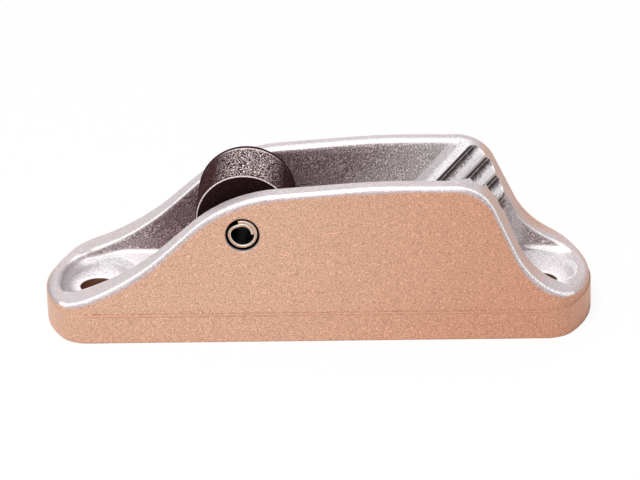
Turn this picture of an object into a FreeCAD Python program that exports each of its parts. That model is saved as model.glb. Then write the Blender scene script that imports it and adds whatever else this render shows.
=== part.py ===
# Jam cleat with a roller: one alloy casting, a roller and the coiled pin that it turns on.
# Units are millimetres. X runs along the rope, from the roller end to the toothed end, and Z is up.
# The origin is the middle of the flat underside.
import FreeCAD, Part

import os
from math import atan2, cos, pi, radians, sin, sqrt, tan

Vec = FreeCAD.Vector

# Base of the casting, seen from above
length = 82.0
width = 25.0
end_radius = 19.1
corner_radius = 4.6
band_height = 4.4
band_step = 0.2

# Outer walls, seen from the side
wall_height = 23.57
wall_draft = 5.0
rim_radius = 0.95
tail_pad_height = 4.4
tail_knee_in = 8.15
tail_knee_radius = 38.0
ramp_in = 28.15
ramp_drop = 1.5
ramp_radius = 21.5
crown_share = 0.592
crown_rise = 0.15
crown_radius = 110.0
brow_in = 15.95
brow_drop = 0.05
brow_radius = 6.3
foot_in = 8.35
foot_height = 6.75
foot_radius = 12.6
head_pad_height = 5.8
head_pad_slope = 6.5

# Rope channel between the walls
channel_width = 14.7
channel_draft = 2.0
channel_floor = 6.2
floor_radius = 1.2
lip_radius = 0.7
tail_wall = 2.1
tail_dip = 2.2
tail_dip_in = 11.0
dip_radius = 12.0
channel_end_radius = 14.0
channel_corner_radius = 3.4

# Slanted jamming teeth on both walls
tooth_lean = 42.0
tooth_count = 5
tooth_pitch = 2.7
tooth_converge = 1.2
tooth_back = 0.75
tooth_depth = 1.1
tooth_scoop = 0.8
tooth_first_in = 17.7
tooth_first_gap = 12.2
lead_in_length = 4.6
lead_in_sag = 0.25
jaw_overlap = 0.35

# Round pocket at the toothed end
pocket_radius = 6.9
pocket_in = 6.0
pocket_draft = 4.5
pocket_headroom = 1.0
pocket_lip_radius = 0.6
head_wall = 1.3
head_dip = 0.8
head_dip_in = 8.0

# Screw seats
hole_spacing = 66.5
hole_radius = 2.75
seat_radius = 5.8
seat_floor = 3.75
seat_bowl = 2.4
seat_slope = 70.0

# Roller, its pin and what holds them
roller_from_tail = 30.5
roller_height = 16.7
roller_radius = 7.3
roller_width = 11.5
roller_chamfer = 0.35
roller_side_gap = 0.25
roller_bore_gap = 0.05
thrust_pad_radius = 3.2
thrust_pad_root = 0.5
pin_radius = 2.15
pin_strip = 0.45
pin_turns = 1.3
pin_lap_gap = 0.03
pin_bend_start = 0.8
pin_points = 48
pin_seam_angle = 107.0
pin_recess = 0.35
pin_socket_radius = 2.55
pin_socket_depth = 1.6

# Worked out from the sizes above
tail_x = -length / 2
head_x = length / 2
roller_x = tail_x + roller_from_tail
sky = wall_height + 10.0
over = 10.0
far_y = width
hole_x = hole_spacing / 2
pocket_x = head_x - pocket_in

# Allowances for finding faces and edges
nearly = 0.01
level = 0.9


def point(x, z, y=0.0):
    return Vec(x, y, z)


def rounded_path(corners, place):
    """Edges of a path through (a, b, radius) corners, each rounded by a tangent arc."""
    edges = []
    start = place(corners[0][0], corners[0][1])
    for before, corner, after in zip(corners, corners[1:], corners[2:]):
        here = place(corner[0], corner[1])
        back = (place(before[0], before[1]) - here).normalize()
        ahead = (place(after[0], after[1]) - here).normalize()
        half = back.getAngle(ahead) / 2
        reach = corner[2] / tan(half)
        middle = (back + ahead).normalize()
        centre = here + middle * (corner[2] / sin(half))
        arc_start = here + back * reach
        arc_end = here + ahead * reach
        if (arc_start - start).Length > 1e-6:
            edges.append(Part.LineSegment(start, arc_start).toShape())
        edges.append(Part.Arc(arc_start, centre - middle * corner[2], arc_end).toShape())
        start = arc_end
    edges.append(Part.LineSegment(start, place(corners[-1][0], corners[-1][1])).toShape())
    return edges


def end_arcs(end_x, half_width, nose, corner, z, side):
    """Blunt rounded end of an outline: corner arc, wide end arc, corner arc, from +Y to -Y on the head side."""
    nose_x = end_x - side * nose
    corner_y = half_width - corner
    corner_x = nose_x + side * sqrt((nose - corner) ** 2 - corner_y ** 2)
    turn = atan2(corner_y, abs(corner_x - nose_x))

    def corner_point(angle, sign):
        return Vec(corner_x + side * corner * cos(angle), sign * (corner_y + corner * sin(angle)), z)

    mid_turn = (turn + pi / 2) / 2
    upper = Part.Arc(corner_point(pi / 2, 1), corner_point(mid_turn, 1), corner_point(turn, 1))
    nose_arc = Part.Arc(corner_point(turn, 1), Vec(end_x, 0, z), corner_point(turn, -1))
    lower = Part.Arc(corner_point(turn, -1), corner_point(mid_turn, -1), corner_point(pi / 2, -1))
    return [upper.toShape(), nose_arc.toShape(), lower.toShape()]


def outline(start_x, end_x, half_width, nose, corner, z, inset=0.0):
    """Closed outline with two blunt ends, set in on every side by the inset."""
    half_width -= inset
    nose -= inset
    corner -= inset
    head = end_arcs(end_x - inset, half_width, nose, corner, z, 1)
    tail = end_arcs(start_x + inset, half_width, nose, corner, z, -1)
    far_side = Part.LineSegment(tail[0].Vertexes[0].Point, head[0].Vertexes[0].Point).toShape()
    near_side = Part.LineSegment(head[2].Vertexes[-1].Point, tail[2].Vertexes[-1].Point).toShape()
    return Part.Wire(Part.__sortEdges__([far_side] + head + [near_side] + tail))


def outer_half_width(z):
    return width / 2 - band_step - (z - band_height) * tan(radians(wall_draft))


def above_floor(corners):
    """Solid above a floor line given as (x, z, radius) corners, wider than the part."""
    edges = rounded_path(corners, lambda a, b: point(a, b, -far_y))
    first = point(corners[0][0], corners[0][1], -far_y)
    last = point(corners[-1][0], corners[-1][1], -far_y)
    roof_first = point(first.x, sky + over, -far_y)
    roof_last = point(last.x, sky + over, -far_y)
    edges.append(Part.LineSegment(last, roof_last).toShape())
    edges.append(Part.LineSegment(roof_last, roof_first).toShape())
    edges.append(Part.LineSegment(roof_first, first).toShape())
    return Part.Face(Part.Wire(edges)).extrude(Vec(0, 2 * far_y, 0))


def side_profile():
    """Everything above the S-shaped top line of the walls, as one solid to cut away."""
    ramp_x = tail_x + ramp_in
    brow_x = head_x - brow_in
    crown_x = ramp_x + (brow_x - ramp_x) * crown_share
    return above_floor([
        (tail_x - over, tail_pad_height, 0),
        (tail_x + tail_knee_in, tail_pad_height, tail_knee_radius),
        (ramp_x, wall_height - ramp_drop, ramp_radius),
        (crown_x, wall_height + crown_rise, crown_radius),
        (brow_x, wall_height - brow_drop, brow_radius),
        (head_x - foot_in, foot_height, foot_radius),
        (head_x + over, head_pad_height - over * tan(radians(head_pad_slope)), 0),
    ])


def outer_block():
    """Base band with the drafted walls on it, cut to the side profile, with its rim rounded."""
    band = Part.Face(outline(tail_x, head_x, width / 2, end_radius, corner_radius, 0))
    band = band.extrude(Vec(0, 0, band_height))
    rise = sky - band_height
    low = outline(tail_x, head_x, width / 2, end_radius, corner_radius, band_height, band_step)
    high_inset = band_step + rise * tan(radians(wall_draft))
    high = outline(tail_x, head_x, width / 2, end_radius, corner_radius, sky, high_inset)
    walls = Part.makeLoft([low, high], True, True)
    walls = walls.cut(side_profile())
    rim = [e for e in walls.Edges if is_rim(e)]
    walls = walls.makeFillet(rim_radius, rim)
    return band.fuse(walls)


def is_rim(edge):
    """True for the edges where the top line of the walls meets their outside."""
    box = edge.BoundBox
    middle = edge.valueAt((edge.FirstParameter + edge.LastParameter) / 2)
    across = box.YLength > 2 * outer_half_width(middle.z) - band_step and abs(middle.y) < nearly
    return box.ZMin > band_height + nearly and not across


def jaw_reach():
    """Distance from the middle to the outer side of the jaw blocks, hidden inside the walls past the lip."""
    return channel_width / 2 + lip_radius + jaw_overlap


def tooth_profile():
    """Half of the throat between the teeth, in (t, y): t runs square to the ridges, towards the toothed end."""
    gap = tooth_first_gap / 2
    wall_y = jaw_reach() + jaw_overlap
    lead_depth = wall_y - gap
    edges = []

    def line(a, b):
        edges.append(Part.LineSegment(Vec(a[0], a[1], 0), Vec(b[0], b[1], 0)).toShape())

    def scoop(a, b, sag):
        middle = Vec((a[0] + b[0]) / 2, (a[1] + b[1]) / 2, 0)
        along = Vec(b[0] - a[0], b[1] - a[1], 0).normalize()
        outward = Vec(-along.y, along.x, 0)
        edges.append(Part.Arc(Vec(a[0], a[1], 0), middle + outward * sag, Vec(b[0], b[1], 0)).toShape())

    far_left = -length
    line((far_left, 0), (far_left, 2 * wall_y))
    line((far_left, 2 * wall_y), (-lead_in_length - wall_y, 2 * wall_y))
    line((-lead_in_length - wall_y, 2 * wall_y), (-lead_in_length, gap + lead_depth))
    scoop((-lead_in_length, gap + lead_depth), (0, gap), lead_depth * lead_in_sag)
    tip = (0, gap)
    for number in range(1, tooth_count):
        root = (tip[0] + tooth_back, tip[1] + tooth_depth)
        following = (tip[0] + tooth_pitch, tip[1] - tooth_converge)
        line(tip, root)
        scoop(root, following, tooth_scoop)
        tip = following
    root = (tip[0] + tooth_back, tip[1] + tooth_depth)
    line(tip, root)
    line(root, (length, root[1]))
    line((length, root[1]), (length, 0))
    line((length, 0), (far_left, 0))
    return Part.Wire(edges)


def throat():
    """The space between the jaws, drawn once and mirrored, running along the slanted ridges."""
    first_x = head_x - tooth_first_in
    half = Part.Face(tooth_profile())
    half.translate(Vec(0, 0, -length))
    half = half.extrude(Vec(0, 0, 2 * length))
    both = half.fuse(half.mirror(Vec(0, 0, 0), Vec(0, 1, 0))).removeSplitter()
    both.rotate(Vec(0, 0, 0), Vec(0, 1, 0), tooth_lean)
    both.translate(Vec(first_x, 0, wall_height))
    return both


def well(low, high, corners, top):
    """Tapered hole between two outlines, standing on the floor line, with its floor edge rounded."""
    hole = Part.makeLoft([low, high], True, True).common(above_floor(corners))
    bottom = [e for f in hole.Faces if is_floor(f, top) for e in f.Edges if not is_across(e)]
    return hole.makeFillet(floor_radius, bottom)


def is_floor(face, top):
    """True for the faces at the bottom of a hole, which look mostly down."""
    low, high, left, right = face.ParameterRange
    normal = face.normalAt((low + high) / 2, (left + right) / 2)
    return abs(normal.z) > level and face.BoundBox.ZMax < top


def is_across(edge):
    """True for a straight edge that runs square across the part."""
    box = edge.BoundBox
    return box.XLength < nearly and box.ZLength < nearly


def channel():
    """Open channel with upright ends, before the jaws close it at the toothed end."""
    taper = tan(radians(channel_draft))
    half_width = channel_width / 2 - wall_height * taper
    start = tail_x + tail_wall
    end = pocket_x + pocket_radius / 2
    low = outline(start, end, half_width, channel_end_radius, channel_corner_radius, 0)
    high = outline(start, end, half_width, channel_end_radius, channel_corner_radius, sky, -sky * taper)
    slope = tail_dip / (tail_dip_in - tail_wall)
    corners = [
        (tail_x - over, channel_floor - slope * (tail_dip_in + over), 0),
        (tail_x + tail_dip_in, channel_floor, dip_radius),
        (head_x + over, channel_floor, 0),
    ]
    return well(low, high, corners, channel_floor + floor_radius)


def pocket():
    """Round-nosed hole round the screw at the toothed end."""
    top = wall_height + pocket_headroom
    taper = tan(radians(pocket_draft))

    def pocket_outline(z):
        grow = (z - channel_floor) * taper
        radius = pocket_radius + grow
        head = end_arcs(head_x - head_wall, radius, channel_end_radius + grow, channel_corner_radius, z, 1)
        inner = Part.Arc(Vec(pocket_x, radius, z), Vec(pocket_x - radius, 0, z), Vec(pocket_x, -radius, z))
        far_side = Part.LineSegment(Vec(pocket_x, radius, z), head[0].Vertexes[0].Point).toShape()
        near_side = Part.LineSegment(head[2].Vertexes[-1].Point, Vec(pocket_x, -radius, z)).toShape()
        return Part.Wire(Part.__sortEdges__([far_side] + head + [near_side, inner.toShape()]))

    slope = head_dip / (head_dip_in - head_wall)
    corners = [
        (0, channel_floor, 0),
        (head_x - head_dip_in, channel_floor, dip_radius),
        (head_x + over, channel_floor - slope * (head_dip_in + over), 0),
    ]
    return well(pocket_outline(0), pocket_outline(top), corners, channel_floor + floor_radius)


def screw_seat(x):
    """Bowl for a screw head with its through hole; the bowl's wall leans out at the seat slope."""
    slope = radians(seat_slope)
    wall_rise = channel_floor - seat_floor - seat_bowl * (1 - cos(slope))
    bend_x = seat_radius - wall_rise / tan(slope)
    flat_x = bend_x - seat_bowl * sin(slope)

    def bowl_point(angle):
        return Vec(flat_x + seat_bowl * sin(angle), 0, seat_floor + seat_bowl * (1 - cos(angle)))

    top_x = seat_radius + floor_radius / tan(slope)
    top_z = channel_floor + floor_radius
    corners = [
        bowl_point(slope), Vec(top_x, 0, top_z), Vec(0, 0, top_z),
        Vec(0, 0, -over), Vec(hole_radius, 0, -over), Vec(hole_radius, 0, seat_floor), bowl_point(0),
    ]
    edges = [Part.LineSegment(a, b).toShape() for a, b in zip(corners, corners[1:])]
    edges.append(Part.Arc(bowl_point(0), bowl_point(slope / 2), bowl_point(slope)).toShape())
    seat = Part.Face(Part.Wire(edges)).revolve(Vec(0, 0, 0), Vec(0, 0, 1), 360)
    seat.translate(Vec(x, 0, 0))
    return seat


def across_cylinder(radius, start_y, end_y):
    """Cylinder along Y on the roller's axis."""
    return Part.makeCylinder(radius, end_y - start_y, Vec(roller_x, start_y, roller_height), Vec(0, 1, 0))


def thrust_pad(side):
    """Round pad inside one wall that keeps the roller in the middle."""
    inner = roller_width / 2 + roller_side_gap
    outer = channel_width / 2 + thrust_pad_root
    pad = across_cylinder(thrust_pad_radius, inner, outer)
    return pad if side > 0 else pad.mirror(Vec(0, 0, 0), Vec(0, 1, 0))


def is_lip(edge):
    """True for the lengthwise edges where the channel walls meet the top line."""
    box = edge.BoundBox
    lengthwise = box.XLength > box.YLength and abs(edge.CenterOfMass.y) < channel_width / 2
    return lengthwise and box.ZMin > channel_floor + floor_radius


def is_pocket_lip(edge):
    """True for the two long edges where the round pocket opens through the end slope of the walls."""
    middle = edge.CenterOfMass
    beside = pocket_radius / 2 < abs(middle.y) < pocket_radius + floor_radius
    return beside and middle.x > head_x - 2 * pocket_in and edge.BoundBox.ZLength > 2 * floor_radius


def rounded_pocket(block):
    """All that the pocket takes from the block, with its lip rounded where the teeth don't reach it yet."""
    rest = block.cut(pocket())
    lip = [e for e in rest.Edges if is_pocket_lip(e)]
    return block.cut(rest.makeFillet(pocket_lip_radius, lip))


def cleat_body():
    """The casting: channel with rounded lips, jaws set into it, then the pocket, seats and pin holes."""
    block = outer_block()
    walls = block.cut(channel()).removeSplitter()
    lip = [e for e in walls.Edges if is_lip(e)]
    walls = walls.makeFillet(lip_radius, lip[:1])
    reach = jaw_reach()
    core = Part.makeBox(2 * length, 2 * reach, sky, Vec(-length, -reach, 0))
    jaws = block.common(core).cut(throat())
    body = walls.fuse(jaws).cut([rounded_pocket(block), screw_seat(-hole_x), screw_seat(hole_x)])
    body = body.fuse([thrust_pad(1), thrust_pad(-1)]).removeSplitter()
    outside = outer_half_width(roller_height)
    socket = across_cylinder(pin_socket_radius, outside - pin_socket_depth, outside + over)
    return body.cut([
        across_cylinder(pin_radius, -width, width),
        socket,
        socket.mirror(Vec(0, 0, 0), Vec(0, 1, 0)),
    ])


def roller():
    """Plain turned roller with a small chamfer on both rims."""
    body = across_cylinder(roller_radius, -roller_width / 2, roller_width / 2)
    rims = [e for e in body.Edges if e.Curve.TypeId == "Part::GeomCircle"]
    body = body.makeChamfer(roller_chamfer, rims)
    return body.cut(across_cylinder(pin_radius + roller_bore_gap, -roller_width, roller_width))


def roller_pin():
    """Spring pin rolled from strip: a round outer turn that laps inside its own start."""
    half = outer_half_width(roller_height) - pin_recess
    lap = pin_strip + pin_lap_gap

    def outer_radius(turn):
        ease = min(max((turn - pin_bend_start) / (1 - pin_bend_start), 0), 1)
        return pin_radius - lap * ease * ease * (3 - 2 * ease)

    def on_strip(turn, depth):
        angle = radians(pin_seam_angle) - 2 * pi * turn
        radius = outer_radius(turn) - depth
        return Vec(roller_x + radius * cos(angle), -half, roller_height + radius * sin(angle))

    def curve(start, end, depth):
        spline = Part.BSplineCurve()
        turns = [start + (end - start) * i / pin_points for i in range(pin_points + 1)]
        spline.interpolate([on_strip(turn, depth) for turn in turns])
        return spline.toShape()

    outer = curve(0, pin_turns, 0)
    inner = curve(0, pin_turns, pin_strip)
    caps = [
        Part.LineSegment(on_strip(turn, 0), on_strip(turn, pin_strip)).toShape() for turn in (0, pin_turns)
    ]
    strip = Part.Face(Part.Wire(Part.__sortEdges__([outer, inner] + caps)))
    return strip.extrude(Vec(0, 2 * half, 0))


os.makedirs("parts", exist_ok=True)
for name, shape in (("cleat_body", cleat_body()), ("roller", roller()), ("roller_pin", roller_pin())):
    shape.exportStep("parts/" + name + ".step")
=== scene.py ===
from math import cos, pi, radians, sin

import bmesh
import bpy
import numpy as np
from mathutils import Matrix, Vector


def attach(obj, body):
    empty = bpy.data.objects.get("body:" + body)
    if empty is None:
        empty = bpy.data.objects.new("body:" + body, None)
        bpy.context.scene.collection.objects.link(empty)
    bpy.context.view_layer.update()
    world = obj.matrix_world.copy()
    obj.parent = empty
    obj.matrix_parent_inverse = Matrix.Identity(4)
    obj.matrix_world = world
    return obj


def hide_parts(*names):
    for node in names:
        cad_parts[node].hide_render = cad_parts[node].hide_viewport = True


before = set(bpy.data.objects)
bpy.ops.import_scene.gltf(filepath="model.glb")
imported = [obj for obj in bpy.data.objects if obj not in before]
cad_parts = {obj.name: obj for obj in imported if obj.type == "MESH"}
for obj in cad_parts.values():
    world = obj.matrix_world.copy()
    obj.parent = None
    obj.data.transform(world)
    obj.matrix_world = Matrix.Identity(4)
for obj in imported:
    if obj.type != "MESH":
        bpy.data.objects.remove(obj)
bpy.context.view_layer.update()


# Camera. A long lens about 0.6 m away, a little to the right of square on and 25 degrees up.
# The picture is turned by a small angle, so that the toothed end sits higher than the tail.
mm = 0.001
camera_turn = radians(2.32)
camera_rise = radians(25.0)
camera_roll = radians(1.65)
camera_distance = 591 * mm
camera_aim = Vector((0.28, 4.18, 8.94)) * mm
sensor_mm = 36.0
lens_mm = 219.8
nearest_seen = 0.01
farthest_seen = 20.0

camera = bpy.data.objects.new("camera", bpy.data.cameras.new("camera"))
bpy.context.scene.collection.objects.link(camera)
bpy.context.scene.camera = camera
camera.data.sensor_width = sensor_mm
camera.data.lens = lens_mm
camera.data.clip_start = nearest_seen
camera.data.clip_end = farthest_seen
towards_camera = Vector((
    sin(camera_turn) * cos(camera_rise),
    -cos(camera_turn) * cos(camera_rise),
    sin(camera_rise),
))
camera.location = towards_camera * camera_distance
looking = (camera_aim - camera.location).normalized()
across = looking.cross(Vector((0, 0, 1))).normalized()
upright = across.cross(looking)
picture_right = across * cos(camera_roll) - upright * sin(camera_roll)
picture_up = across * sin(camera_roll) + upright * cos(camera_roll)
turn = Matrix((picture_right, picture_up, -looking)).transposed()
camera.rotation_mode = "QUATERNION"
camera.rotation_quaternion = turn.to_quaternion()


# Floor and light. A wide pale floor, a big soft lamp overhead at the front left and a weaker one behind.
# The white behind the part comes from what camera and glossy rays see, not from more light on it.
bpy.context.scene.view_settings.view_transform = "Standard"
floor_reach = 1.5
floor_colour = (0.86, 0.85, 0.84, 1.0)
floor_whiteness = 0.9
studio_white = (1.0, 1.0, 1.0, 1.0)
ambient_strength = 0.42
key_place = Vector((-0.14, -0.26, 0.62))
key_size = 0.32
key_power = 3.6
back_place = Vector((-0.12, 0.36, 0.60))
back_size = 0.35
back_power = 0.7


def add_node(tree, kind, inputs=None, **settings):
    """A shader node with its settings, and with each named or numbered input set or linked."""
    node = tree.nodes.new(kind)
    for name, value in settings.items():
        setattr(node, name, value)
    for name, value in (inputs or {}).items():
        if isinstance(value, bpy.types.NodeSocket):
            tree.links.new(value, node.inputs[name])
        else:
            node.inputs[name].default_value = value
    return node


def maths(tree, operation, first, second=0.0):
    """One number worked out from one or two."""
    return add_node(tree, "ShaderNodeMath", {0: first, 1: second}, operation=operation).outputs[0]


floor_mesh = bpy.data.meshes.new("floor")
floor_mesh.from_pydata(
    [(-floor_reach, -floor_reach, 0), (floor_reach, -floor_reach, 0),
     (floor_reach, floor_reach, 0), (-floor_reach, floor_reach, 0)],
    [], [(0, 1, 2, 3)])
floor = bpy.data.objects.new("floor", floor_mesh)
bpy.context.scene.collection.objects.link(floor)

floor_paper = bpy.data.materials.new("floor_paper")
floor_paper.use_nodes = True
tree = floor_paper.node_tree
tree.nodes.clear()
paper = add_node(tree, "ShaderNodeBsdfDiffuse", {"Color": floor_colour})
glow = add_node(tree, "ShaderNodeEmission", {"Color": studio_white, "Strength": 1.0})
rays = add_node(tree, "ShaderNodeLightPath")
seen = maths(tree, "MULTIPLY", rays.outputs["Is Camera Ray"], floor_whiteness)
paper_mix = add_node(tree, "ShaderNodeMixShader", {0: seen, 1: paper.outputs[0], 2: glow.outputs[0]})
add_node(tree, "ShaderNodeOutputMaterial", {"Surface": paper_mix.outputs[0]})
floor_mesh.materials.append(floor_paper)

studio = bpy.data.worlds.new("studio")
bpy.context.scene.world = studio
studio.use_nodes = True
tree = studio.node_tree
tree.nodes.clear()
rays = add_node(tree, "ShaderNodeLightPath")
camera_or_glossy = maths(tree, "MAXIMUM", rays.outputs["Is Camera Ray"], rays.outputs["Is Glossy Ray"])
white_rays = maths(tree, "MAXIMUM", camera_or_glossy, rays.outputs["Is Transmission Ray"])
strength = add_node(
    tree, "ShaderNodeMapRange",
    {"Value": white_rays, "To Min": ambient_strength, "To Max": 1.0})
sky = add_node(tree, "ShaderNodeBackground", {"Color": studio_white, "Strength": strength.outputs["Result"]})
add_node(tree, "ShaderNodeOutputWorld", {"Surface": sky.outputs[0]})

for name, place, size, power in (
        ("key_lamp", key_place, key_size, key_power), ("back_lamp", back_place, back_size, back_power)):
    lamp = bpy.data.objects.new(name, bpy.data.lights.new(name, "AREA"))
    bpy.context.scene.collection.objects.link(lamp)
    lamp.data.size = size
    lamp.data.energy = power
    lamp.location = place
    lamp.rotation_mode = "QUATERNION"
    lamp.rotation_quaternion = (-place).to_track_quat("-Z", "Y")


# Casting. One aluminium casting, fine blasted and clear anodised, screwed down through both ends.
# Upward faces are silver. The outer sides' tan is a painted warm reflection; the channel's darker grey is
# painted shade.
# Length 82, width 25 and height 24. The masks work in plain millimetres, and so do their sizes below.
silver = (0.53, 0.465, 0.476, 1.0)
# Painted highlight: the lighter silver painted on the channel floor, the lead-in band and the lit tooth
# faces.
lit_silver = (0.90, 0.86, 0.87, 1.0)
# Painted reflection: the warm tan painted on the outer sides, the far rim's edge and the slopes facing the
# toothed end.
reflected_tan = (0.645, 0.382, 0.268, 1.0)
# Painted shade: the redder, darker tan painted over the right part, away from the lamp.
shaded_red_tan = (0.58, 0.286, 0.182, 1.0)
# Painted shade: the darker tan painted along the seam line at the base band's step.
seam_shade_tan = (0.385, 0.175, 0.105, 1.0)
# Painted highlight: the white painted on the rims, the channel's lip and the far wall's top.
rim_highlight_white = (0.86, 0.83, 0.84, 1.0)
# Painted shade: the lilac grey painted below the rim highlight.
rim_shade_lilac = (0.47, 0.405, 0.42, 1.0)
# Painted shade: the darker grey painted on the channel's inner walls.
channel_shade_grey = (0.325, 0.262, 0.268, 1.0)
# Painted shade: the browner, darker wall colour painted around the roller.
roller_shade_brown = (0.175, 0.112, 0.122, 1.0)
# Painted shade: the near-black brown painted on the steep backs of the teeth.
groove_shade_brown = (0.085, 0.060, 0.062, 1.0)
# Painted highlight: the light silver painted in the bowls.
bowl_highlight_silver = (0.74, 0.70, 0.72, 1.0)
# Painted shade: the grey painted on the bowls' far sides and at the foot of the walls.
bowl_shade_grey = (0.33, 0.29, 0.30, 1.0)
# Painted shade: the dark brown painted inside the screw holes.
hole_shade_brown = (0.20, 0.08, 0.045, 1.0)
# Painted shade: the black painted in the pin's counterbores.
socket_shade_black = (0.008, 0.006, 0.006, 1.0)

end_arc_x = 21.9
inside_x = 36.0
inside_y = 8.7
soft_edge = 0.5
nose_bend = 0.5 / 19.1
nose_edge_x = 40.3
seam_z = 4.4
seam_fade_x = 33.0
lip_foot_z = 5.0
channel_y = 7.3
floor_top_z = 7.4
slope_start_x = 20.0
tooth_lean = radians(42.0)
first_tooth_x = 23.3
tooth_top_z = 23.57
tooth_pitch = 2.7
tooth_root = 0.75
teeth_begin = -0.08
last_crest = 8.3
lead_in_width = 2.5
hole_x = 33.25
hole_radius = 2.78
hole_top_z = 3.75
bowl_rim = 5.8
bowl_top_z = 4.6
pin_x = -10.5
pin_z = 16.7
socket_inner_y = 9.0
socket_radius = 2.55
socket_floor_y = 10.95

skin_scale = 7700.0
channel_coarser = 2100.0
skin_contrast = 3.1
channel_contrast = 4.6
skin_blotches = 300.0
skin_bump = 0.6
skin_bump_depth = 0.03 * mm
edge_rounding = 0.4 * mm
edge_samples = 6
bowl_lift = 2.5
cast_metallic = 0.35
cast_roughness = 0.42


def ease(tree, value, low, high):
    """0 below low, 1 above high and a smooth S between them."""
    return add_node(
        tree, "ShaderNodeMapRange",
        {"Value": value, "From Min": low, "From Max": high},
        interpolation_type="SMOOTHSTEP").outputs["Result"]


def blend_colours(tree, amount, first, second, mode="MIX"):
    """Two colours mixed by an amount. A colour mix has its two colours at the inputs 6 and 7."""
    return add_node(
        tree, "ShaderNodeMix", {0: amount, 6: first, 7: second},
        data_type="RGBA", blend_type=mode).outputs[2]


def new_group(name, inputs):
    """An empty shader group with its inputs, each a name and a kind; gives the group and what comes in."""
    group = bpy.data.node_groups.new(name, "ShaderNodeTree")
    for socket_name, kind in inputs.items():
        group.interface.new_socket(socket_name, in_out="INPUT", socket_type=kind)
    return group, group.nodes.new("NodeGroupInput").outputs


def give_out(group, kind, values):
    """The group's outputs of one kind, each linked to the value that has its name."""
    end = group.nodes.new("NodeGroupOutput")
    for socket_name, value in values.items():
        group.interface.new_socket(socket_name, in_out="OUTPUT", socket_type=kind)
        group.links.new(value, end.inputs[socket_name])


def place_group(tree, group, inputs):
    """The group placed in a material; gives what comes out of it."""
    return add_node(tree, "ShaderNodeGroup", inputs, node_tree=group).outputs


def new_material(name):
    """A new material with its node tree and its Principled shader."""
    made = bpy.data.materials.new(name)
    made.use_nodes = True
    return made, made.node_tree, made.node_tree.nodes["Principled BSDF"]


def object_place(tree):
    """Where a point lies on the object, as a vector."""
    return add_node(tree, "ShaderNodeTexCoord").outputs["Object"]


def parts_of(tree, vector):
    """The X, Y and Z of a vector."""
    return add_node(tree, "ShaderNodeSeparateXYZ", {0: vector}).outputs


def way_faced(tree):
    """The way the surface faces, as a vector."""
    return add_node(tree, "ShaderNodeNewGeometry").outputs["Normal"]


# Fine grain, used by all three materials. The shade is e to the power of the speckle's swing about its
# middle, so that bright flecks stand out more than dark ones, times a slow and weak blotch.
fine_grain, coming_in = new_group("fine_grain", {
    "Place": "NodeSocketVector", "Scale": "NodeSocketFloat",
    "Blotch Scale": "NodeSocketFloat", "Contrast": "NodeSocketFloat"})
speckle = add_node(fine_grain, "ShaderNodeTexNoise", {
    "Vector": coming_in["Place"], "Scale": coming_in["Scale"],
    "Detail": 2.0, "Roughness": 0.7}).outputs["Fac"]
blotch = add_node(fine_grain, "ShaderNodeTexNoise", {
    "Vector": coming_in["Place"], "Scale": coming_in["Blotch Scale"], "Detail": 3.0}).outputs["Fac"]
blotch_share = 0.05
swing = maths(fine_grain, "MULTIPLY", maths(fine_grain, "SUBTRACT", speckle, 0.5), coming_in["Contrast"])
slow_shade = maths(
    fine_grain, "ADD", maths(fine_grain, "MULTIPLY", blotch, blotch_share), 1.0 - blotch_share / 2)
give_out(fine_grain, "NodeSocketFloat", {
    "Speckle": speckle,
    "Shade": maths(fine_grain, "MULTIPLY", maths(fine_grain, "EXPONENT", swing), slow_shade)})


def speckled(tree, colour, shade):
    """The colour darkened and lightened by the grain's shade."""
    grey = add_node(tree, "ShaderNodeCombineColor", {0: shade, 1: shade, 2: shade})
    return blend_colours(tree, 1.0, colour, grey.outputs[0], mode="MULTIPLY")


# The casting's kinds of face, each a mask from 0 to 1 told by where a point is and which way it faces.
casting_faces, coming_in = new_group("casting_faces", {
    "Place": "NodeSocketVector", "Facing": "NodeSocketVector"})


def rise(value, low, high):
    """A mask that eases from 0 at low to 1 at high."""
    return ease(casting_faces, value, low, high)


def fall(value, low, high):
    """A mask that eases from 1 at low to 0 at high."""
    return minus(1.0, rise(value, low, high))


def plus(first, second):
    """The sum of two values."""
    return maths(casting_faces, "ADD", first, second)


def minus(first, second):
    """The first value less the second."""
    return maths(casting_faces, "SUBTRACT", first, second)


def times(*values):
    """The product of some values."""
    product = values[0]
    for value in values[1:]:
        product = maths(casting_faces, "MULTIPLY", product, value)
    return product


def most(*values):
    """The largest of some values."""
    largest = values[0]
    for value in values[1:]:
        largest = maths(casting_faces, "MAXIMUM", largest, value)
    return largest


def least(first, second):
    """The smaller of two values."""
    return maths(casting_faces, "MINIMUM", first, second)


def size_of(value):
    """The value without its sign."""
    return maths(casting_faces, "ABSOLUTE", value)


def vector_maths(operation, first, second=(0.0, 0.0, 0.0)):
    """What comes out of a sum on one or two vectors."""
    return add_node(casting_faces, "ShaderNodeVectorMath", {0: first, 1: second}, operation=operation).outputs


def flat_vector(first, second):
    """A vector of two values."""
    return add_node(casting_faces, "ShaderNodeCombineXYZ", {"X": first, "Y": second}).outputs[0]


def distance(first, second):
    """The length of a step of two values at right angles."""
    return vector_maths("LENGTH", flat_vector(first, second))["Value"]


x, y, z = parts_of(casting_faces, vector_maths("DIVIDE", coming_in["Place"], (mm, mm, mm))["Vector"])
facing = parts_of(casting_faces, coming_in["Facing"])
x_size = size_of(x)
y_size = size_of(y)
level = facing["Z"]
faces_middle = times(facing["Y"], maths(casting_faces, "SIGN", y), -1.0)
faces_aside = times(faces_middle, -1.0)
straight_across = fall(size_of(faces_middle), 0.10, 0.35)

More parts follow.
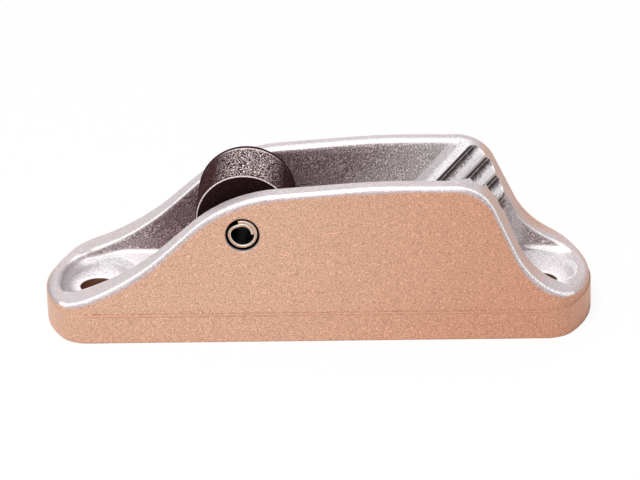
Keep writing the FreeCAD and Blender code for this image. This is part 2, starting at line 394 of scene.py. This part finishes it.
# How far a face points away from the middle line, round the ends too, and what lies between the walls.
spine_x = least(most(x, -end_arc_x), end_arc_x)
away = vector_maths("NORMALIZE", flat_vector(minus(x, spine_x), y))["Vector"]
outward = vector_maths("DOT_PRODUCT", away, coming_in["Facing"])["Value"]
past_inside = rise(y_size, inside_y, inside_y + soft_edge)
inside_box = times(minus(1.0, past_inside), fall(x_size, inside_x, inside_x + soft_edge))
outside_box = minus(1.0, inside_box)

# Painted warm reflection in tan: the drafted outer sides, the narrow ledge on top of the base band and, more
# weakly, the outward edge of the far rim. Painted shade in a darker tan along the seam line at that ledge.
nose_x = plus(x_size, times(y, y, nose_bend))
at_edge = most(past_inside, rise(nose_x, nose_edge_x, nose_edge_x + 0.3))
off_seam = size_of(minus(z, seam_z))
ledge = times(rise(level, 0.5, 0.7), fall(off_seam, 0.05, 0.1), at_edge)
# Painted shade along the seam line, fading out near the ends.
seam = times(fall(off_seam, 0.10, 0.32), at_edge, fall(x_size, seam_fade_x, seam_fade_x + 4), 0.65)
drafted = times(rise(outward, 0.1, 0.4), fall(level, 0.18, 0.36), outside_box)
outer_side = most(drafted, ledge)
far_share = plus(times(rise(x, 14, 24), 0.45), 0.25)
far_rim = times(rise(outward, 0.12, 0.55), rise(y, 0, 3), outside_box, far_share)

# Teeth. Past First is the distance beyond the first tooth's edge, square to the ridges. In each pitch the
# steep back gets painted shade, its root a thin painted highlight line, and the scooped face painted light
# that grows up to the crest; past the last crest the hollow gets the walls' painted shade.
past_first = minus(
    times(minus(x, first_tooth_x), cos(tooth_lean)), times(minus(z, tooth_top_z), sin(tooth_lean)))
from_first = rise(past_first, teeth_begin, teeth_begin + 0.1)
in_teeth = times(
    from_first, inside_box, minus(1.0, straight_across), fall(level, 0.75, 0.85), fall(x, 27.5, 34),
    rise(faces_middle, -0.9, -0.3))
past_root = minus(maths(casting_faces, "FLOORED_MODULO", past_first, tooth_pitch), tooth_root)
root_highlight = fall(size_of(past_root), 0.05, 0.13)
tooth_lit = most(rise(past_root, 0.2, 1.35), times(root_highlight, 0.6))
crests = fall(past_first, last_crest, last_crest + 0.9)
tooth_face = times(in_teeth, crests, tooth_lit)
tooth_shade = times(in_teeth, crests, minus(1.0, tooth_lit))
hollow = times(in_teeth, minus(1.0, crests))

# Channel walls in painted shade, darker still near the roller, with painted light close under the top line.
# The lead-in gets a painted highlight band just before the teeth, with a weak painted glow that reaches back
# from it along the wall.
# Painted shade on the channel's inner walls and in the hollow past the last crest.
inner_side = most(times(rise(faces_middle, 0.66, 0.90), minus(1.0, outer_side)), hollow)
# Painted highlight: a light band on the lead-in, with a weak glow reaching back from it along the wall.
lead_in_glow = most(
    rise(past_first, -lead_in_width, -lead_in_width + 0.5),
    times(rise(past_first, -12, -lead_in_width), 0.40))
on_wall = most(rise(faces_middle, 0.93, 0.98), 0.6)
lead_in = times(lead_in_glow, minus(1.0, from_first), inside_box, rise(faces_middle, 0.35, 0.85), on_wall)
# Painted light on the channel walls close under their top line.
top_glow = times(inner_side, rise(z, 21.4, 23.0), minus(1.0, hollow), 0.5)
# Painted shade on the channel walls around the roller, fading out towards the teeth.
near_roller_shade = times(rise(x, -30, -22), fall(x, -16, 17))

# Rims. A painted white highlight where the rounded rim turns down, a painted lilac shade line below it, a
# painted white highlight on the channel's lip, and a painted highlight on the near half of the far wall's
# top, where it catches the light.
on_rim = times(past_inside, rise(z, seam_z + 0.3, seam_z + 0.6))
rim_turn = times(on_rim, rise(faces_aside, 0.14, 0.38), fall(faces_aside, 0.52, 0.74))
lip_turn = times(
    rise(faces_middle, 0.20, 0.50), fall(faces_middle, 0.60, 0.86), rise(z, lip_foot_z, lip_foot_z + 0.6))
far_land = times(rise(level, 0.86, 0.96), rise(y, 4.0, 4.1), rise(z, 12, 20), fall(y, 8.35, 8.85), 0.8)
rim_light = most(rim_turn, lip_turn, far_land)
# Painted shade line below the rim's painted highlight.
rim_shade = times(on_rim, rise(faces_aside, 0.62, 0.84), rise(level, 0.14, 0.28))
# Painted warm reflection in tan on the slopes that face the toothed end.
end_slope = times(
    rise(x, slope_start_x, slope_start_x + 3), rise(facing["X"], 0.45, 0.75), rise(level, 0.1, 0.3),
    straight_across, 0.6)

# Bowls and floor. Each bowl gets a painted highlight, with painted shade on its side away from the lamp, and
# its shade is told by the distance from the screw hole. The channel's floor gets painted light, and painted
# shade at the foot of the walls.
in_channel = times(fall(y_size, channel_y, channel_y + 0.4), fall(x_size, inside_x, inside_x + 2))
flat_floor = times(rise(level, 0.75, 0.95), fall(z, floor_top_z, floor_top_z + 1), in_channel)
tail_x = plus(x, hole_x)
head_x = minus(x, hole_x)
tail_bowl = distance(tail_x, y)
head_bowl = distance(head_x, y)
near_bowl = least(tail_bowl, head_bowl)
low_down = fall(z, bowl_top_z, bowl_top_z + 0.7)
tail_shade = times(fall(tail_x, -4.5, 1.5), rise(tail_bowl, 2.8, 5.2), low_down)
tail_crescent = times(
    rise(tail_x, 1.0, 3.5), rise(tail_bowl, 4.2, 5.2), fall(tail_bowl, bowl_rim - 0.2, bowl_rim),
    low_down, 0.5)
head_shade = times(rise(head_x, 1, 5), rise(head_bowl, 3.0, 5.4), low_down, 0.5)
wall_foot = times(
    rise(y_size, 5, 7), in_channel, fall(x, -32, -27), fall(z, 6.2, 6.8), rise(level, 0.3, 0.6), 0.8)
bowl_shade = most(tail_shade, tail_crescent, head_shade, wall_foot)
bowl_light = times(
    rise(near_bowl, 3.2, 3.8), fall(near_bowl, bowl_rim - 0.1, bowl_rim + 0.1), minus(1.0, bowl_shade),
    fall(z, 6.0, 6.3))
# Painted shade inside each screw hole.
screw_hole = times(fall(near_bowl, hole_radius, hole_radius + 0.08), fall(z, hole_top_z - 0.15, hole_top_z))

# The painted shade in the counterbore round each end of the pin, the coarser grain of the channel, and the
# painted shade that makes the tan redder towards the right, away from the lamp.
from_pin = distance(minus(x, pin_x), minus(z, pin_z))
# Painted shade in the gap of the counterbore round each end of the pin.
socket = times(
    fall(from_pin, socket_radius + 0.02, socket_radius + 0.10),
    fall(y_size, socket_floor_y - 0.25, socket_floor_y + 0.05),
    rise(y_size, socket_inner_y, socket_inner_y + 0.1))
off_bowls = most(rise(near_bowl, 5.9, 6.6), rise(z, 6.4, 7.4))
rough_grain = times(inner_side, minus(1.0, lead_in), off_bowls)
# Painted shade: the tan turns redder and darker from left to right.
right_shade = rise(x, -12, 38)

give_out(casting_faces, "NodeSocketFloat", {
    "Outer Side": outer_side, "Seam": seam, "Far Rim": far_rim, "Right Shade": right_shade,
    "Tooth Face": tooth_face, "Tooth Shade": tooth_shade, "Lead In": lead_in,
    "Inner Side": inner_side, "Top Glow": top_glow, "Near Roller Shade": near_roller_shade, "Rough Grain": rough_grain,
    "Rim Light": rim_light, "Rim Shade": rim_shade, "End Slope": end_slope,
    "Floor": flat_floor, "Bowl Shade": bowl_shade, "Bowl Light": bowl_light,
    "Screw Hole": screw_hole, "Socket": socket})

cast_alloy, tree, shader = new_material("cast_alloy")
masks = place_group(tree, casting_faces, {"Place": object_place(tree), "Facing": way_faced(tree)})
coarser = maths(tree, "MULTIPLY", masks["Rough Grain"], channel_coarser)
harder = maths(tree, "MULTIPLY", masks["Rough Grain"], channel_contrast)
grain = place_group(tree, fine_grain, {
    "Place": object_place(tree), "Scale": maths(tree, "SUBTRACT", skin_scale, coarser),
    "Blotch Scale": skin_blotches, "Contrast": maths(tree, "ADD", harder, skin_contrast)})
reflected_and_shaded_tan = blend_colours(tree, masks["Right Shade"], reflected_tan, shaded_red_tan)
inner_shade_and_light = blend_colours(tree, masks["Near Roller Shade"], channel_shade_grey, roller_shade_brown)
inner_shade_and_light = blend_colours(tree, masks["Top Glow"], inner_shade_and_light, silver)
colour = silver
for mask, paint in (
        ("Floor", lit_silver), ("Rim Light", rim_highlight_white), ("Rim Shade", rim_shade_lilac),
        ("Inner Side", inner_shade_and_light), ("Lead In", lit_silver), ("Tooth Shade", groove_shade_brown),
        ("Tooth Face", lit_silver), ("Bowl Light", bowl_highlight_silver), ("Bowl Shade", bowl_shade_grey),
        ("End Slope", reflected_and_shaded_tan), ("Far Rim", reflected_and_shaded_tan), ("Outer Side", reflected_and_shaded_tan),
        ("Seam", seam_shade_tan), ("Screw Hole", hole_shade_brown), ("Socket", socket_shade_black)):
    colour = blend_colours(tree, masks[mask], colour, paint)
rounded = add_node(tree, "ShaderNodeBevel", {"Radius": edge_rounding}, samples=edge_samples)
lift = maths(tree, "MULTIPLY", masks["Bowl Light"], bowl_lift)
lifted = add_node(tree, "ShaderNodeCombineXYZ", {"Z": lift})
raised = add_node(
    tree, "ShaderNodeVectorMath", {0: rounded.outputs["Normal"], 1: lifted.outputs[0]}, operation="ADD")
softened = add_node(tree, "ShaderNodeVectorMath", {0: raised.outputs["Vector"]}, operation="NORMALIZE")
bump = add_node(
    tree, "ShaderNodeBump",
    {"Height": grain["Speckle"], "Distance": skin_bump_depth, "Strength": skin_bump,
     "Normal": softened.outputs["Vector"]})
tree.links.new(speckled(tree, colour, grain["Shade"]), shader.inputs["Base Color"])
tree.links.new(bump.outputs["Normal"], shader.inputs["Normal"])
shader.inputs["Metallic"].default_value = cast_metallic
shader.inputs["Roughness"].default_value = cast_roughness
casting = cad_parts["cleat_body"]
casting.data.materials.clear()
casting.data.materials.append(cast_alloy)


# Roller. A plain turned roller of dark hard plastic, with fine turning lines round its tread.
# Radius 7.3, width 11.5 and a 0.35 chamfer; it runs loose on the pin between two cast pads.
roller_centre = Vector((-10.5, 0, 16.7)) * mm
roller_radius = 7.3 * mm
roller_half = 5.75 * mm
roller_chamfer = 0.35 * mm
bore_radius = 2.2 * mm
bore_chamfer = 0.1 * mm
turning_pitch = 0.28 * mm
turning_depth = 0.012 * mm
tread_points = 241
roller_steps = 192
roller_brown = (0.036, 0.012, 0.014, 1.0)
# Painted shade: the darker brown painted on the roller's end faces.
face_shade_brown = (0.018, 0.008, 0.009, 1.0)
# Painted highlight: the pale colour painted on the chamfers.
chamfer_highlight = (0.66, 0.56, 0.55, 1.0)
# Painted highlight: the pale flecks painted where the tread faces up to the light, and the ring at its back
# edge.
fleck_highlight_grey = (1.0, 0.86, 0.85, 1.0)
tread_scale = 4600.0
tread_blotches = 420.0
tread_contrast = 3.0
tread_bump = 0.7
tread_bump_depth = 0.05 * mm
tread_roughness = 0.5
light_from_right = 0.13
top_strength = 0.9
shade_strength = 0.04


def grid_mesh(name, points, wrap_rows, wrap_columns):
    """A closed mesh of four-sided faces over a grid of points, joined round where it wraps.

    Where the rows don't wrap, the first and the last row are each closed with one flat face."""
    rows, columns = points.shape[:2]
    index = np.arange(rows * columns).reshape(rows, columns)
    caps = [] if wrap_rows else [index[0].tolist()[::-1], index[-1].tolist()]
    if wrap_rows:
        index = np.vstack((index, index[:1]))
    if wrap_columns:
        index = np.hstack((index, index[:, :1]))
    corners = (index[:-1, :-1], index[1:, :-1], index[1:, 1:], index[:-1, 1:])
    quads = np.stack(corners, axis=2).reshape(-1, 4)
    mesh = bpy.data.meshes.new(name)
    mesh.from_pydata(points.reshape(-1, 3).tolist(), [], quads.tolist() + caps)
    shell = bmesh.new()
    shell.from_mesh(mesh)
    bmesh.ops.recalc_face_normals(shell, faces=shell.faces)
    shell.to_mesh(mesh)
    shell.free()
    made = bpy.data.objects.new(name, mesh)
    bpy.context.scene.collection.objects.link(made)
    return made


def turned_surface(name, profile, centre, steps):
    """A closed profile of (across, radius) pairs turned about the Y axis through the centre.

    Each point is the centre plus the radius times (cos a, sin a) in X and Z, with the across value in Y."""
    across, radius = np.array(profile).T
    angle = np.linspace(0, 2 * pi, steps, endpoint=False)[:, None]
    points = np.stack((
        centre.x + radius * np.cos(angle),
        centre.y + across + 0 * angle,
        centre.z + radius * np.sin(angle)), axis=2)
    return grid_mesh(name, points, True, True)


# The tread dips below the radius by half the depth times (1 - cos) of the way along the turning pitch.
tread = np.linspace(-roller_half + roller_chamfer, roller_half - roller_chamfer, tread_points)
lines = roller_radius - turning_depth * (0.5 - 0.5 * np.cos(2 * pi * tread / turning_pitch))
roller_profile = [
    (-roller_half, bore_radius + bore_chamfer), (-roller_half, roller_radius - roller_chamfer),
    *zip(tread, lines),
    (roller_half, roller_radius - roller_chamfer), (roller_half, bore_radius + bore_chamfer),
    (roller_half - bore_chamfer, bore_radius), (-roller_half + bore_chamfer, bore_radius)]
roller = turned_surface("turned_roller", roller_profile, roller_centre, roller_steps)
for face in roller.data.polygons:
    face.use_smooth = True

# Painted highlight: pale flecks where the tread faces up to the light, a pale ring and then a dark one at its
# back edge, and pale chamfers. Painted shade: dark end faces.
roller_plastic, tree, shader = new_material("roller_plastic")
along = parts_of(tree, object_place(tree))["Y"]
off_middle = maths(tree, "ABSOLUTE", along)
end_face = ease(tree, off_middle, roller_half - 0.06 * mm, roller_half - 0.02 * mm)
end_chamfer = ease(tree, off_middle, roller_half - 0.24 * mm, roller_half - 0.16 * mm)
grain = place_group(tree, fine_grain, {
    "Place": object_place(tree), "Scale": tread_scale, "Blotch Scale": tread_blotches,
    "Contrast": tread_contrast})
facing = parts_of(tree, way_faced(tree))
towards_light = maths(tree, "ADD", facing["Z"], maths(tree, "MULTIPLY", facing["X"], light_from_right))
top_share = maths(tree, "MULTIPLY", ease(tree, towards_light, 0.66, 1.12), top_strength)
on_top = maths(tree, "ADD", top_share, shade_strength)
fleck = ease(tree, grain["Speckle"], 0.50, 0.62)
before_edge = ease(tree, along, roller_half - 1.0 * mm, roller_half - 1.2 * mm)
ring_start = ease(tree, along, roller_half - 1.65 * mm, roller_half - 1.35 * mm)
back_highlight_ring = maths(tree, "MULTIPLY", ring_start, before_edge)
pale = maths(tree, "MULTIPLY", maths(tree, "MAXIMUM", fleck, back_highlight_ring), before_edge)
colour = blend_colours(tree, maths(tree, "MULTIPLY", pale, on_top), roller_brown, fleck_highlight_grey)
colour = blend_colours(tree, end_chamfer, colour, chamfer_highlight)
colour = blend_colours(tree, end_face, colour, face_shade_brown)
bump = add_node(
    tree, "ShaderNodeBump",
    {"Height": grain["Speckle"], "Distance": tread_bump_depth, "Strength": tread_bump})
tree.links.new(speckled(tree, colour, grain["Shade"]), shader.inputs["Base Color"])
tree.links.new(bump.outputs["Normal"], shader.inputs["Normal"])
shader.inputs["Roughness"].default_value = tread_roughness
shader.inputs["Specular IOR Level"].default_value = 0.0
roller.data.materials.append(roller_plastic)
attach(roller, "roller")
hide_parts("roller")


# Pin. A coiled spring pin rolled from steel strip and pressed through both walls, its ends just below them.
# Radius 2.15, strip 0.40 and 1.3 turns. The strip laps inside its own start, so each end shows a spiral.
pin_radius = 2.15 * mm
pin_strip = 0.40 * mm
pin_lap = 0.50 * mm
pin_half = 10.874 * mm
pin_turns = 1.3
lap_start = 0.8
lap_turns = 0.2
pin_seam = radians(107.0)
strip_corner = 0.12 * mm
pin_rows = 160
loop_points = 16
# Painted reflection in tan on the pin's ends, a painted highlight on the strip's edges and painted shade
# inside.
strip_reflected_tan = (0.62, 0.36, 0.22, 1.0)
strip_edge_highlight = (1.0, 0.97, 0.93, 1.0)
pin_inside_shade = (0.012, 0.008, 0.007, 1.0)
pin_scale = 4200.0
pin_blotches = 600.0
pin_contrast = 1.0
pin_metallic = 0.5
pin_roughness = 0.35

# The strip's outside radius is the pin's radius, less the lap times an S curve that runs over the last part
# of the first turn. Its section is an oblong with round corners, each point a corner's middle plus a quarter
# arc; the small offset puts each quarter's end points on its own side.
turns = np.linspace(0, pin_turns, pin_rows)[:, None]
wound = np.clip((turns - lap_start) / lap_turns, 0, 1)
strip_outside = pin_radius - pin_lap * wound * wound * (3 - 2 * wound)
pin_angle = pin_seam - 2 * pi * turns
loop_turn = np.linspace(pi, -pi, loop_points, endpoint=False)
quarter_turn = loop_turn + 0.01
corner_depth = np.where(np.cos(quarter_turn) < 0, strip_corner, pin_strip - strip_corner)
corner_along = np.where(np.sin(quarter_turn) > 0, 1, -1) * (pin_half - strip_corner)
strip_radius = strip_outside - corner_depth - strip_corner * np.cos(loop_turn)
pin_points = np.stack((
    roller_centre.x + strip_radius * np.cos(pin_angle),
    corner_along + strip_corner * np.sin(loop_turn) + 0 * pin_angle,
    roller_centre.z + strip_radius * np.sin(pin_angle)), axis=2)
pin = grid_mesh("coiled_pin", pin_points, False, True)

# Painted warm reflection in tan on the flat ends, a painted pale highlight on the rounded edges of the strip,
# and painted shade down inside.
pin_steel, tree, shader = new_material("pin_steel")
end_on = ease(tree, maths(tree, "ABSOLUTE", parts_of(tree, way_faced(tree))["Y"]), 0.90, 0.995)
off_middle = maths(tree, "ABSOLUTE", parts_of(tree, object_place(tree))["Y"])
depth = maths(tree, "SUBTRACT", pin_half, off_middle)
grain = place_group(tree, fine_grain, {
    "Place": object_place(tree), "Scale": pin_scale, "Blotch Scale": pin_blotches, "Contrast": pin_contrast})
colour = blend_colours(tree, end_on, strip_edge_highlight, strip_reflected_tan)
colour = blend_colours(tree, ease(tree, depth, 0.12 * mm, 0.45 * mm), colour, pin_inside_shade)
tree.links.new(speckled(tree, colour, grain["Shade"]), shader.inputs["Base Color"])
shader.inputs["Metallic"].default_value = pin_metallic
shader.inputs["Roughness"].default_value = pin_roughness
pin.data.materials.append(pin_steel)
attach(pin, "cleat")
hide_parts("roller_pin")
